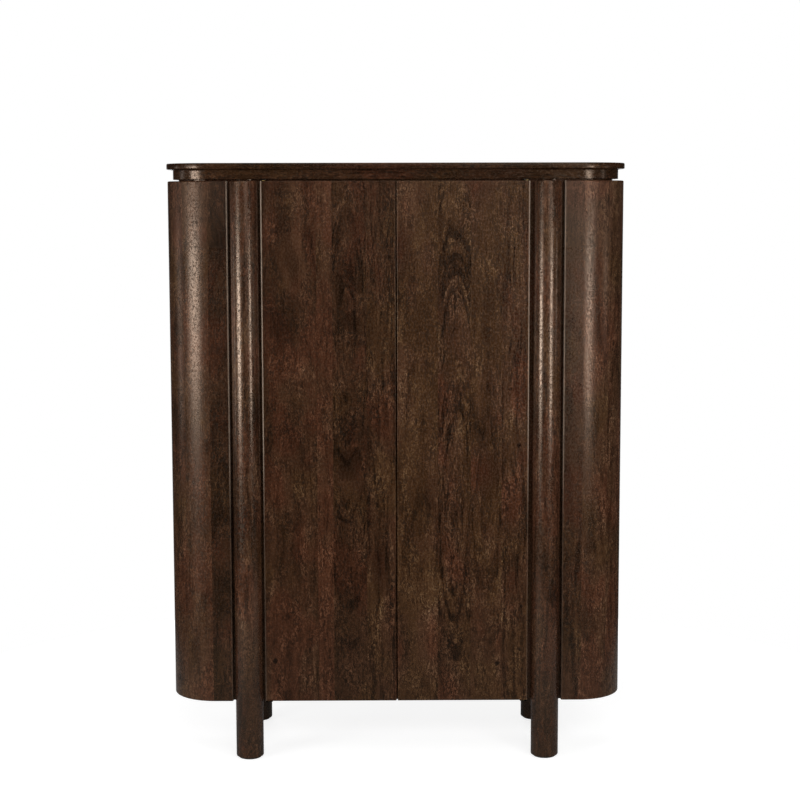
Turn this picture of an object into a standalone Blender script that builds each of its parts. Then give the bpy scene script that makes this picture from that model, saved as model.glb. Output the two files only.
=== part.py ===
"""Storage cabinet with coopered round-cornered sides, two pivoting doors and round posts.

Lengths are metres. X runs to the right, Y to the back and Z up. The origin is on the floor
under the middle of the cabinet, so the doors face -Y.
"""
from math import asin, cos, pi, radians, sin

import bmesh
import bpy
from mathutils import Matrix, Vector

# Fits
FIT_GAP = 0.0003
CUT_OVERRUN = 0.002

# Case, measured over its outer faces
CASE_WIDTH = 0.996
CASE_DEPTH = 0.328
CORNER_RADIUS = 0.098
DOOR_BOTTOM = 0.124
DOOR_HEIGHT = 1.138
DOOR_THICKNESS = 0.020
DOOR_BACK_GAP = 0.004
PANEL_THICKNESS = 0.022
SHELL_EASE = 0.0025

# Top slab and the recessed neck under it
SLAB_OVERHANG = 0.002
SLAB_THICKNESS = 0.013
SLAB_EASE = 0.0022
NECK_INSET = 0.012
NECK_HEIGHT = 0.0212
NECK_THICKNESS = 0.026
NECK_FLARE = 0.003

# Front posts, back legs and their glides
POST_RADIUS = 0.030
POST_FROM_SIDE = 0.173
POST_EASE = 0.002
BACK_LEG_FROM_BACK = 0.037
TENON_RADIUS = 0.015
TENON_LENGTH = 0.016
GLIDE_RADIUS = 0.025
GLIDE_THICKNESS = 0.003
GLIDE_EASE = 0.0008

# Stiles that join each post to its side shell
POST_TO_SHELL_GAP = 0.0055
STILE_THICKNESS = 0.020
STILE_INNER_REACH = 0.0525
STILE_OUTER_REACH = 0.0675

# Back
BACK_RETURN_WIDTH = 0.020
BACK_THICKNESS = 0.012
BACK_RECESS = 0.004

# Doors
CENTRE_GAP = 0.002
LEFT_POST_GAP = 0.0045
RIGHT_POST_GAP = 0.008
DOOR_EASE = 0.0018

# Pivot hinges: plate, pin and bush
PIVOT_INSET = 0.008
PLATE_THICKNESS = 0.002
PLATE_HALF_WIDTH = 0.008
PLATE_LENGTH = 0.050
PIN_RADIUS = 0.003
PIN_ENGAGEMENT = 0.012
PIN_TIP_EASE = 0.0008
BUSH_WALL = 0.0017
BUSH_FLANGE = 0.0006
BUSH_FLANGE_REACH = 0.0016
BUSH_LENGTH = 0.014

# Countersunk screws through the pivot plates
SCREW_RADIUS = 0.0018
SCREW_HEAD_RADIUS = 0.0036
SCREW_LENGTH = 0.015
SCREW_POINT_LENGTH = 0.003
SCREW_TIP_RADIUS = 0.0004
SCREW_PITCH = 0.014
SCREW_END_MARGIN = 0.008
SCREW_DRIVE_RADIUS = 0.0014
SCREW_DRIVE_DEPTH = 0.0012

# Bolts from the stiles into the posts
BOLT_RADIUS = 0.003
BOLT_REACH = 0.022
BOLT_HEAD_RADIUS = 0.006
BOLT_HEAD_HEIGHT = 0.0025
BOLT_HEAD_EASE = 0.0006
BOLT_DRIVE_RADIUS = 0.0022
BOLT_DRIVE_DEPTH = 0.0015
BOLT_END_DISTANCE = 0.150

# Shelves and the pins that carry them
SHELF_THICKNESS = 0.018
SHELF_EASE = 0.0015
SHELF_SIDE_GAP = 0.002
SHELF_PIN_RADIUS = 0.0025
SHELF_PIN_IN_BORE = 0.008
SHELF_PIN_STUB = 0.010
SHELF_PIN_COLLAR = 0.0015
SHELF_PIN_COLLAR_RADIUS = 0.004
SHELF_PIN_END_EASE = 0.0005
SHELF_PIN_FROM_POST = 0.020
SHELF_BORE_PITCH = 0.032
SHELF_BORE_SPARE = 0.0005

# Magnetic catch and the strike plates on the doors
CATCH_WIDTH = 0.056
CATCH_DEPTH = 0.024
CATCH_HEIGHT = 0.013
CATCH_EASE = 0.0012
MAGNET_WIDTH = 0.046
MAGNET_HEIGHT = 0.006
MAGNET_DEPTH = 0.008
MAGNET_PROUD = 0.0006
STRIKE_WIDTH = 0.020
STRIKE_HEIGHT = 0.011
STRIKE_THICKNESS = 0.0012
STRIKE_EDGE_MARGIN = 0.004
STRIKE_EASE = 0.0003

# Facets of the round shapes
CORNER_STEPS = 10
POST_SIDES = 32
ROUND_SIDES = 12
BORE_SIDES = 8
NOTCH_STEPS = 8
EASE_STEPS = 2
HEX_SIDES = 6
SMOOTH_ANGLE = radians(35)
SHELF_BORES_EACH_WAY = 2

# Places that follow from the sizes above
OVERALL_DEPTH = POST_RADIUS + CASE_DEPTH + SLAB_OVERHANG
FRONT_Y = POST_RADIUS - OVERALL_DEPTH / 2
BACK_Y = FRONT_Y + CASE_DEPTH
HALF_WIDTH = CASE_WIDTH / 2
CORNER_X = HALF_WIDTH - CORNER_RADIUS
POST_CENTRE_X = HALF_WIDTH - POST_FROM_SIDE
SHELF_PIN_X = POST_CENTRE_X + SHELF_PIN_FROM_POST
SHELL_THICKNESS = DOOR_THICKNESS + DOOR_BACK_GAP
INSIDE_OFFSET = SHELL_THICKNESS + FIT_GAP
DOOR_TOP = DOOR_BOTTOM + DOOR_HEIGHT
PLATE_CLEARANCE = FIT_GAP + BUSH_FLANGE + FIT_GAP
TOP_PANEL_TOP = DOOR_TOP + PLATE_CLEARANCE + PLATE_THICKNESS
TOP_PANEL_UNDER = TOP_PANEL_TOP - PANEL_THICKNESS
BOTTOM_PANEL_UNDER = DOOR_BOTTOM - PLATE_CLEARANCE - PLATE_THICKNESS
BOTTOM_PANEL_TOP = BOTTOM_PANEL_UNDER + PANEL_THICKNESS
NECK_BOTTOM = TOP_PANEL_TOP + FIT_GAP
SLAB_BOTTOM = NECK_BOTTOM + NECK_HEIGHT + FIT_GAP
INSIDE_BOTTOM = BOTTOM_PANEL_TOP + FIT_GAP
INSIDE_HEIGHT = TOP_PANEL_UNDER - FIT_GAP - INSIDE_BOTTOM
STILE_FRONT = FRONT_Y + INSIDE_OFFSET
STILE_BACK = STILE_FRONT + STILE_THICKNESS
BACK_FRONT = BACK_Y - SHELL_THICKNESS
RETURN_X = CORNER_X - BACK_RETURN_WIDTH
SHELL_FRONT_X = POST_CENTRE_X + POST_RADIUS + POST_TO_SHELL_GAP
POST_BOTTOM = GLIDE_THICKNESS + FIT_GAP
BACK_LEG_Y = BACK_Y - BACK_LEG_FROM_BACK
PIVOT_Y = FRONT_Y + DOOR_THICKNESS / 2
SHELF_GAP = SHELF_PIN_COLLAR + 2 * FIT_GAP
SHELF_FRONT = STILE_BACK + SHELF_GAP
SHELF_BACK = BACK_FRONT - SHELF_GAP

# Curve that turns a seen colour into light: a straight toe, then a power
TOE_END = 0.04045
TOE_SLOPE = 12.92
CURVE_OFFSET = 0.055
CURVE_POWER = 2.4

# Colours as seen, red, green and blue out of 255, then roughness and metallic
DARK_STAINED_WOOD = ((62, 42, 30), 0.42, 0.0)
POST_WOOD = ((74, 52, 40), 0.36, 0.0)
INSIDE_WOOD = ((70, 50, 38), 0.50, 0.0)
BLACKENED_STEEL = ((46, 44, 42), 0.38, 0.9)
BRIGHT_STEEL = ((176, 176, 172), 0.30, 1.0)
BRASS = ((178, 146, 88), 0.32, 1.0)
BLACK_PLASTIC = ((34, 33, 32), 0.55, 0.0)
FELT = ((52, 48, 44), 0.95, 0.0)


def clear_scene():
    """Empty the scene of its start-up objects."""
    for leftover in list(bpy.data.objects):
        bpy.data.objects.remove(leftover, do_unlink=True)


def linear(channel):
    """Turn one seen colour channel into the linear value that a shader takes."""
    value = channel / 255
    if value <= TOE_END:
        return value / TOE_SLOPE
    return ((value + CURVE_OFFSET) / (1 + CURVE_OFFSET)) ** CURVE_POWER


def finish_material(name, finish):
    """Make the Principled material of one piece."""
    colour, roughness, metallic = finish
    material = bpy.data.materials.new(name + "_finish")
    material.use_nodes = True
    shader = material.node_tree.nodes["Principled BSDF"]
    shader.inputs["Base Color"].default_value = [linear(channel) for channel in colour] + [1.0]
    shader.inputs["Roughness"].default_value = roughness
    shader.inputs["Metallic"].default_value = metallic
    return material


def new_object(name, shape, location, rotation=(0, 0, 0), parent=None):
    """Turn a bmesh into an object at its place."""
    bmesh.ops.recalc_face_normals(shape, faces=shape.faces)
    mesh = bpy.data.meshes.new(name)
    shape.to_mesh(mesh)
    shape.free()
    item = bpy.data.objects.new(name, mesh)
    item.location = location
    item.rotation_euler = rotation
    item.parent = parent
    bpy.context.scene.collection.objects.link(item)
    return item


def piece(name, shape, finish, location, rotation=(0, 0, 0), parent=None):
    """Make one named piece of the cabinet with its own material."""
    item = new_object(name, shape, location, rotation, parent)
    item.data.shade_smooth()
    item.data.set_sharp_from_angle(angle=SMOOTH_ANGLE)
    item.data.materials.append(finish_material(name, finish))
    return item


def ease_edges(item, width):
    """Round off the sharp edges of a piece."""
    bevel = item.modifiers.new("eased_edges", "BEVEL")
    bevel.width = width
    bevel.segments = EASE_STEPS
    bevel.limit_method = "ANGLE"
    bevel.angle_limit = SMOOTH_ANGLE


def cut(item, name, shape, parent=None):
    """Take a cutter's shape, given in the coordinates of the parent or the world, out of a piece."""
    cutter = new_object(name, shape, (0, 0, 0), parent=parent)
    cutter.hide_render = True
    cutter.display_type = "WIRE"
    boolean = item.modifiers.new(name, "BOOLEAN")
    boolean.operation = "DIFFERENCE"
    boolean.solver = "EXACT"
    boolean.object = cutter


def arc(centre_x, centre_y, radius, start, end, steps):
    """Points along an arc, both ends included."""
    angles = [start + (end - start) * step / steps for step in range(steps + 1)]
    return [(centre_x + radius * cos(angle), centre_y + radius * sin(angle)) for angle in angles]


def prism(outline, bottom, top):
    """Solid between two heights over a plan outline."""
    shape = bmesh.new()
    lower = [shape.verts.new((x, y, bottom)) for x, y in outline]
    upper = [shape.verts.new((x, y, top)) for x, y in outline]
    shape.faces.new(lower)
    shape.faces.new(upper)
    count = len(outline)
    for index in range(count):
        after = (index + 1) % count
        shape.faces.new((lower[index], lower[after], upper[after], upper[index]))
    return shape


def block(low, high):
    """Rectangular solid between two corners."""
    outline = [(low[0], low[1]), (high[0], low[1]), (high[0], high[1]), (low[0], high[1])]
    return prism(outline, low[2], high[2])


def swept(stations, section):
    """Solid with one section, given as depth behind the outer face and height, along a plan path."""
    shape = bmesh.new()
    rings = []
    for (x, y), facing in stations:
        ring = [(x - depth * cos(facing), y - depth * sin(facing), height) for depth, height in section]
        rings.append([shape.verts.new(point) for point in ring])
    count = len(section)
    for near, far in zip(rings, rings[1:]):
        for index in range(count):
            after = (index + 1) % count
            shape.faces.new((near[index], near[after], far[after], far[index]))
    shape.faces.new(rings[0])
    shape.faces.new(rings[-1])
    return shape


def turned(profile, sides, hollow=False):
    """Solid of revolution about Z from radius and height pairs, closed on itself where hollow."""
    shape = bmesh.new()
    rings = []
    for radius, height in profile:
        if radius == 0:
            rings.append([shape.verts.new((0, 0, height))])
            continue
        turns = [2 * pi * side / sides for side in range(sides)]
        points = [(radius * cos(turn), radius * sin(turn), height) for turn in turns]
        rings.append([shape.verts.new(point) for point in points])
    pairs = list(zip(rings, rings[1:]))
    if hollow:
        pairs.append((rings[-1], rings[0]))
    for near, far in pairs:
        for side in range(sides):
            after = (side + 1) % sides
            corners = [near[side % len(near)], near[after % len(near)]]
            corners += [far[after % len(far)], far[side % len(far)]]
            shape.faces.new(list(dict.fromkeys(corners)))
    return shape


def eased_bar(radius, bottom, top, ease):
    """Profile of a round bar with rounded rims, for turning."""
    rim = [pi / 2 * step / EASE_STEPS for step in range(EASE_STEPS + 1)]
    lower = [(radius - ease + ease * sin(turn), bottom + ease - ease * cos(turn)) for turn in rim]
    upper = [(radius - ease + ease * cos(turn), top - ease + ease * sin(turn)) for turn in rim]
    return [(0, bottom)] + lower + upper + [(0, top)]


def bores(holes, sides=BORE_SIDES):
    """Cutter of round holes, each given by its start, its direction, its radius and its depth."""
    shape = bmesh.new()
    for start, direction, radius, depth in holes:
        along = Vector(direction)
        middle = Vector(start) + along * (depth - CUT_OVERRUN) / 2
        turn = along.to_track_quat("Z", "Y").to_matrix().to_4x4()
        bmesh.ops.create_cone(
            shape,
            cap_ends=True,
            segments=sides,
            radius1=radius,
            radius2=radius,
            depth=depth + CUT_OVERRUN,
            matrix=Matrix.Translation(middle) @ turn,
        )
    return shape


def side_stations(side, start_x, end_x, inset):
    """Places and facings round one side of the case, from its front end to its back end."""
    radius = CORNER_RADIUS - inset
    stations = [((start_x, FRONT_Y + inset), -pi / 2)]
    corners = ((FRONT_Y + CORNER_RADIUS, -pi / 2), (BACK_Y - CORNER_RADIUS, 0))
    for corner_y, first in corners:
        for step in range(CORNER_STEPS + 1):
            facing = first + pi / 2 * step / CORNER_STEPS
            place = (CORNER_X + radius * cos(facing), corner_y + radius * sin(facing))
            stations.append((place, facing))
    stations.append(((end_x, BACK_Y - inset), pi / 2))
    if side > 0:
        return stations
    return [((-x, y), pi - facing) for (x, y), facing in stations]


def post_notch(side, edge_y):
    """Points of the hollow that a post leaves in a straight edge, from left to right."""
    radius = POST_RADIUS + FIT_GAP
    depth = edge_y - FRONT_Y
    if radius <= depth:
        return []
    start = asin(depth / radius)
    return arc(side * POST_CENTRE_X, FRONT_Y, radius, pi - start, start, NOTCH_STEPS)


def corner_arc(side, end, inset, edge_y):
    """Corner of the inside outline, from the front or back edge round to the side."""
    radius = CORNER_RADIUS - inset
    corner_y = FRONT_Y + CORNER_RADIUS if end < 0 else BACK_Y - CORNER_RADIUS
    rise = max(-1.0, min(1.0, (edge_y - corner_y) / radius))
    points = arc(CORNER_X, corner_y, radius, asin(rise), 0, CORNER_STEPS)
    return [(side * x, y) for x, y in points]


def panel_outline():
    """Outline of the top and bottom panels, notched for the posts, with a tongue at the back."""
    front = FRONT_Y + INSIDE_OFFSET
    back = BACK_Y - INSIDE_OFFSET
    tongue_x = RETURN_X - FIT_GAP
    tongue_y = BACK_Y - BACK_RECESS
    points = post_notch(-1, front) + post_notch(1, front)
    points += corner_arc(1, -1, INSIDE_OFFSET, front)
    points += list(reversed(corner_arc(1, 1, INSIDE_OFFSET, back)))
    points += [(tongue_x, back), (tongue_x, tongue_y), (-tongue_x, tongue_y), (-tongue_x, back)]
    points += corner_arc(-1, 1, INSIDE_OFFSET, back)
    points += list(reversed(corner_arc(-1, -1, INSIDE_OFFSET, front)))
    return points


def shelf_outline():
    """Outline of a shelf that clears the round inside corners."""
    inset = SHELL_THICKNESS + SHELF_SIDE_GAP
    points = corner_arc(1, -1, inset, SHELF_FRONT)
    points += list(reversed(corner_arc(1, 1, inset, SHELF_BACK)))
    points += corner_arc(-1, 1, inset, SHELF_BACK)
    points += list(reversed(corner_arc(-1, -1, inset, SHELF_FRONT)))
    return points


def plate_outline(pivot_x, gap):
    """Outline of a pivot plate, round at the pin and square at the back, grown by a gap."""
    half = PLATE_HALF_WIDTH + gap
    nose = arc(pivot_x, PIVOT_Y, half, pi, 2 * pi, NOTCH_STEPS)
    back = PIVOT_Y + PLATE_LENGTH + gap
    return nose + [(pivot_x + half, back), (pivot_x - half, back)]


def plate_screw_places(pivot_x):
    """Places of the two screws of a pivot plate."""
    last = PIVOT_Y + PLATE_LENGTH - SCREW_END_MARGIN
    return [(pivot_x, last - SCREW_PITCH), (pivot_x, last)]


def door_edges(side):
    """Middle edge, outer edge and pivot of a door, along X."""
    gap = RIGHT_POST_GAP if side > 0 else LEFT_POST_GAP
    outer = POST_CENTRE_X - POST_RADIUS - gap
    return side * CENTRE_GAP / 2, side * outer, side * (outer - PIVOT_INSET)


def shelf_heights():
    """Undersides of the two shelves, at a third and two thirds of the inside height."""
    shares = (1 / 3, 2 / 3)
    return [INSIDE_BOTTOM + INSIDE_HEIGHT * share - SHELF_THICKNESS / 2 for share in shares]


def shelf_pin_height(underside):
    """Height of the pins under a shelf."""
    return underside - FIT_GAP - SHELF_PIN_RADIUS


def shelf_bores(start_y, direction, sides):
    """Rows of bores that let each shelf move up and down."""
    depth = SHELF_PIN_IN_BORE + SHELF_BORE_SPARE
    radius = SHELF_PIN_RADIUS + FIT_GAP
    holes = []
    for underside in shelf_heights():
        for step in range(-SHELF_BORES_EACH_WAY, SHELF_BORES_EACH_WAY + 1):
            height = shelf_pin_height(underside) + step * SHELF_BORE_PITCH
            for side in sides:
                start = (side * SHELF_PIN_X, start_y, height)
                holes.append((start, (0, direction, 0), radius, depth))
    return holes


def bolt_heights():
    """Heights of the two bolts of a post."""
    return [DOOR_BOTTOM + BOLT_END_DISTANCE, DOOR_TOP - BOLT_END_DISTANCE]


def make_slab():
    """Thin top board that just overhangs the case."""
    grown = -SLAB_OVERHANG
    points = []
    for side, end in ((1, -1), (1, 1), (-1, 1), (-1, -1)):
        edge = FRONT_Y + grown if end < 0 else BACK_Y - grown
        corner = corner_arc(side, end, grown, edge)
        points += corner if side == -end else list(reversed(corner))
    slab = piece("top_slab", prism(points, 0, SLAB_THICKNESS), DARK_STAINED_WOOD, (0, 0, SLAB_BOTTOM))
    ease_edges(slab, SLAB_EASE)


def make_neck():
    """Recessed ring of four pieces that carries the slab, flared where it meets it."""
    section = [
        (0, 0),
        (0, NECK_HEIGHT - NECK_FLARE),
        (-NECK_FLARE, NECK_HEIGHT),
        (NECK_THICKNESS, NECK_HEIGHT),
        (NECK_THICKNESS, 0),
    ]
    place = (0, 0, NECK_BOTTOM)
    seam = CORNER_X - FIT_GAP
    rails = (("neck_front_rail", FRONT_Y + NECK_INSET, -pi / 2), ("neck_back_rail", BACK_Y - NECK_INSET, pi / 2))
    for name, rail_y, facing in rails:
        stations = [((-seam, rail_y), facing), ((seam, rail_y), facing)]
        piece(name, swept(stations, section), DARK_STAINED_WOOD, place)
    for name, side in (("neck_left_end", -1), ("neck_right_end", 1)):
        stations = side_stations(side, CORNER_X, CORNER_X, NECK_INSET)
        piece(name, swept(stations[1:-1], section), DARK_STAINED_WOOD, place)


def make_panels():
    """Top and bottom panels of the case, inside the side shells."""
    outline = panel_outline()
    shape = prism(outline, 0, PANEL_THICKNESS)
    top = piece("case_top_panel", shape, INSIDE_WOOD, (0, 0, TOP_PANEL_UNDER))
    shape = prism(outline, 0, PANEL_THICKNESS)
    bottom = piece("case_bottom_panel", shape, INSIDE_WOOD, (0, 0, BOTTOM_PANEL_UNDER))
    housing = PLATE_THICKNESS + FIT_GAP
    pilot = SCREW_RADIUS + FIT_GAP
    for side in (-1, 1):
        pivot_x = door_edges(side)[2]
        side_name = "left" if side < 0 else "right"
        outline = plate_outline(pivot_x, FIT_GAP)
        recess = prism(outline, TOP_PANEL_TOP - housing, TOP_PANEL_TOP + CUT_OVERRUN)
        cut(top, side_name + "_top_plate_recess", recess)
        recess = prism(outline, BOTTOM_PANEL_UNDER - CUT_OVERRUN, BOTTOM_PANEL_UNDER + housing)
        cut(bottom, side_name + "_bottom_plate_recess", recess)
        places = plate_screw_places(pivot_x)
        holes = [((x, y, TOP_PANEL_TOP), (0, 0, -1), pilot, SCREW_LENGTH + FIT_GAP) for x, y in places]
        cut(top, side_name + "_top_plate_pilots", bores(holes))
        holes = [((x, y, BOTTOM_PANEL_UNDER), (0, 0, 1), pilot, SCREW_LENGTH + FIT_GAP) for x, y in places]
        cut(bottom, side_name + "_bottom_plate_pilots", bores(holes))
    radius = TENON_RADIUS + FIT_GAP
    depth = TENON_LENGTH + FIT_GAP
    up = (0, 0, 1)
    places = [(side * POST_CENTRE_X, BACK_LEG_Y, BOTTOM_PANEL_UNDER) for side in (-1, 1)]
    cut(bottom, "leg_tenon_bores", bores([(place, up, radius, depth) for place in places], POST_SIDES))


def make_side_shells():
    """Curved shells that make the ends of the case and wrap round its four corners."""
    section = [(0, 0), (0, DOOR_HEIGHT), (SHELL_THICKNESS, DOOR_HEIGHT), (SHELL_THICKNESS, 0)]
    for name, side in (("left_side_shell", -1), ("right_side_shell", 1)):
        stations = side_stations(side, SHELL_FRONT_X, RETURN_X, 0)
        shell = piece(name, swept(stations, section), DARK_STAINED_WOOD, (0, 0, DOOR_BOTTOM))
        ease_edges(shell, SHELL_EASE)


def make_back_panel():
    """Flat back between the returns of the shells and between the top and bottom panels."""
    half = RETURN_X - FIT_GAP
    low = (-half, BACK_FRONT, INSIDE_BOTTOM)
    high = (half, BACK_FRONT + BACK_THICKNESS, INSIDE_BOTTOM + INSIDE_HEIGHT)
    back = piece("back_panel", block(low, high), INSIDE_WOOD, (0, 0, 0))
    cut(back, "back_shelf_bores", bores(shelf_bores(BACK_FRONT, 1, (-1, 1))))


def make_stiles():
    """Upright behind each post, hollowed to seat it and lapping behind the side shell."""
    for name, side in (("left_post_stile", -1), ("right_post_stile", 1)):
        inner = POST_CENTRE_X - STILE_INNER_REACH
        outer = POST_CENTRE_X + STILE_OUTER_REACH
        low, high = sorted((side * inner, side * outer))
        outline = [(low, STILE_FRONT)] + post_notch(side, STILE_FRONT)
        outline += [(high, STILE_FRONT), (high, STILE_BACK), (low, STILE_BACK)]
        shape = prism(outline, INSIDE_BOTTOM, INSIDE_BOTTOM + INSIDE_HEIGHT)
        stile = piece(name, shape, INSIDE_WOOD, (0, 0, 0))
        cut(stile, name + "_shelf_bores", bores(shelf_bores(STILE_BACK, -1, (side,))))
        cut(stile, name + "_bolt_bores", bores(bolt_bores(side)))


def bolt_bores(side):
    """Holes for the bolts of one post, through its stile and into the post."""
    radius = BOLT_RADIUS + FIT_GAP
    depth = STILE_BACK - FRONT_Y - POST_RADIUS + BOLT_REACH + FIT_GAP
    return [
        ((side * POST_CENTRE_X, STILE_BACK, height), (0, -1, 0), radius, depth)
        for height in bolt_heights()
    ]


def make_posts_and_legs():
    """Round front posts from glide to door top, and round back legs under the case."""
    for name, side in (("left_front_post", -1), ("right_front_post", 1)):
        profile = eased_bar(POST_RADIUS, 0, DOOR_TOP - POST_BOTTOM, POST_EASE)
        place = (side * POST_CENTRE_X, FRONT_Y, POST_BOTTOM)
        post = piece(name, turned(profile, POST_SIDES), POST_WOOD, place)
        cut(post, name + "_bolt_bores", bores(bolt_bores(side)))
    leg_top = BOTTOM_PANEL_UNDER - FIT_GAP - POST_BOTTOM
    tenon_top = leg_top + TENON_LENGTH
    for name, side in (("left_back_leg", -1), ("right_back_leg", 1)):
        leg = eased_bar(POST_RADIUS, 0, leg_top, POST_EASE)[:-1]
        tenon = [(TENON_RADIUS, leg_top), (TENON_RADIUS, tenon_top), (0, tenon_top)]
        place = (side * POST_CENTRE_X, BACK_LEG_Y, POST_BOTTOM)
        piece(name, turned(leg + tenon, POST_SIDES), POST_WOOD, place)


def make_glides():
    """Felt discs that the posts and legs stand on."""
    rows = (("front", FRONT_Y), ("back", BACK_LEG_Y))
    for row_name, row_y in rows:
        for side_name, side in (("left", -1), ("right", 1)):
            profile = [(0, 0), (GLIDE_RADIUS - GLIDE_EASE, 0), (GLIDE_RADIUS, GLIDE_EASE)]
            profile += [(GLIDE_RADIUS, GLIDE_THICKNESS), (0, GLIDE_THICKNESS)]
            place = (side * POST_CENTRE_X, row_y, 0)
            piece(row_name + "_" + side_name + "_glide", turned(profile, POST_SIDES), FELT, place)


def make_post_bolts():
    """Socket-head bolts that hold each post to its stile."""
    reach = STILE_BACK + FIT_GAP - FRONT_Y - POST_RADIUS + BOLT_REACH
    head = [(0, -BOLT_HEAD_HEIGHT), (BOLT_HEAD_RADIUS - BOLT_HEAD_EASE, -BOLT_HEAD_HEIGHT)]
    head += [(BOLT_HEAD_RADIUS, BOLT_HEAD_EASE - BOLT_HEAD_HEIGHT), (BOLT_HEAD_RADIUS, 0)]
    shank = [(BOLT_RADIUS, 0), (BOLT_RADIUS, reach), (0, reach)]
    for side_name, side in (("left", -1), ("right", 1)):
        for level, height in zip(("lower", "upper"), bolt_heights()):
            name = side_name + "_post_bolt_" + level
            place = (side * POST_CENTRE_X, STILE_BACK + FIT_GAP, height)
            bolt = piece(name, turned(head + shank, ROUND_SIDES), BLACKENED_STEEL, place, (pi / 2, 0, 0))
            face = (place[0], place[1] + BOLT_HEAD_HEIGHT, height)
            socket = [(face, (0, -1, 0), BOLT_DRIVE_RADIUS, BOLT_DRIVE_DEPTH)]
            cut(bolt, name + "_socket", bores(socket, HEX_SIDES))


def make_shelves():
    """Two adjustable shelves, each on four pins."""
    pin = [(0, -SHELF_PIN_IN_BORE), (SHELF_PIN_RADIUS - SHELF_PIN_END_EASE, -SHELF_PIN_IN_BORE)]
    pin += [(SHELF_PIN_RADIUS, SHELF_PIN_END_EASE - SHELF_PIN_IN_BORE), (SHELF_PIN_RADIUS, FIT_GAP)]
    pin += [(SHELF_PIN_COLLAR_RADIUS, FIT_GAP), (SHELF_PIN_COLLAR_RADIUS, FIT_GAP + SHELF_PIN_COLLAR)]
    pin += [(SHELF_PIN_RADIUS, FIT_GAP + SHELF_PIN_COLLAR), (SHELF_PIN_RADIUS, SHELF_PIN_STUB)]
    pin += [(0, SHELF_PIN_STUB)]
    rows = (("front", STILE_BACK, -pi / 2), ("back", BACK_FRONT, pi / 2))
    for level, underside in zip(("lower", "upper"), shelf_heights()):
        shape = prism(shelf_outline(), 0, SHELF_THICKNESS)
        shelf = piece(level + "_shelf", shape, INSIDE_WOOD, (0, 0, underside))
        ease_edges(shelf, SHELF_EASE)
        for row_name, row_y, turn in rows:
            for side_name, side in (("left", -1), ("right", 1)):
                name = "_".join((level, "shelf_pin", row_name, side_name))
                place = (side * SHELF_PIN_X, row_y, shelf_pin_height(underside))
                piece(name, turned(pin, ROUND_SIDES), BRIGHT_STEEL, place, (turn, 0, 0))


def make_door(side_name, side):
    """One door on its axis, with a bush at each end and a strike plate behind its middle edge."""
    middle, outer, pivot_x = door_edges(side)
    axis = bpy.data.objects.new(side_name + "_door_axis", None)
    axis.location = (pivot_x, PIVOT_Y, DOOR_BOTTOM)
    bpy.context.scene.collection.objects.link(axis)

    half = DOOR_THICKNESS / 2
    low_x, high_x = sorted((middle - pivot_x, outer - pivot_x))
    shape = block((low_x, -half, 0), (high_x, half, DOOR_HEIGHT))
    door = piece(side_name + "_door", shape, DARK_STAINED_WOOD, (0, 0, 0), parent=axis)
    ease_edges(door, DOOR_EASE)
    bush_radius = PIN_RADIUS + FIT_GAP + BUSH_WALL
    depth = BUSH_LENGTH + FIT_GAP
    seats = [((0, 0, 0), (0, 0, 1), bush_radius + FIT_GAP, depth)]
    seats += [((0, 0, DOOR_HEIGHT), (0, 0, -1), bush_radius + FIT_GAP, depth)]
    cut(door, side_name + "_door_bush_seats", bores(seats, ROUND_SIDES), axis)

    bore = PIN_RADIUS + FIT_GAP
    flange_radius = bush_radius + BUSH_FLANGE_REACH
    bush = [(bore, -BUSH_LENGTH), (bush_radius, -BUSH_LENGTH), (bush_radius, FIT_GAP)]
    bush += [(flange_radius, FIT_GAP), (flange_radius, FIT_GAP + BUSH_FLANGE), (bore, FIT_GAP + BUSH_FLANGE)]
    ends = (("top", DOOR_HEIGHT, 0), ("bottom", 0, pi))
    for end_name, height, turn in ends:
        shape = turned(bush, ROUND_SIDES, hollow=True)
        name = "_".join((side_name, end_name, "bush"))
        piece(name, shape, BRASS, (0, 0, height), (turn, 0, 0), axis)

    strike_x = middle - pivot_x + side * (STRIKE_EDGE_MARGIN + STRIKE_WIDTH / 2)
    strike_z = catch_middle() - DOOR_BOTTOM
    low = (-STRIKE_WIDTH / 2, 0, -STRIKE_HEIGHT / 2)
    high = (STRIKE_WIDTH / 2, STRIKE_THICKNESS, STRIKE_HEIGHT / 2)
    place = (strike_x, half + FIT_GAP, strike_z)
    strike = piece(side_name + "_strike_plate", block(low, high), BRIGHT_STEEL, place, parent=axis)
    ease_edges(strike, STRIKE_EASE)


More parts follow.
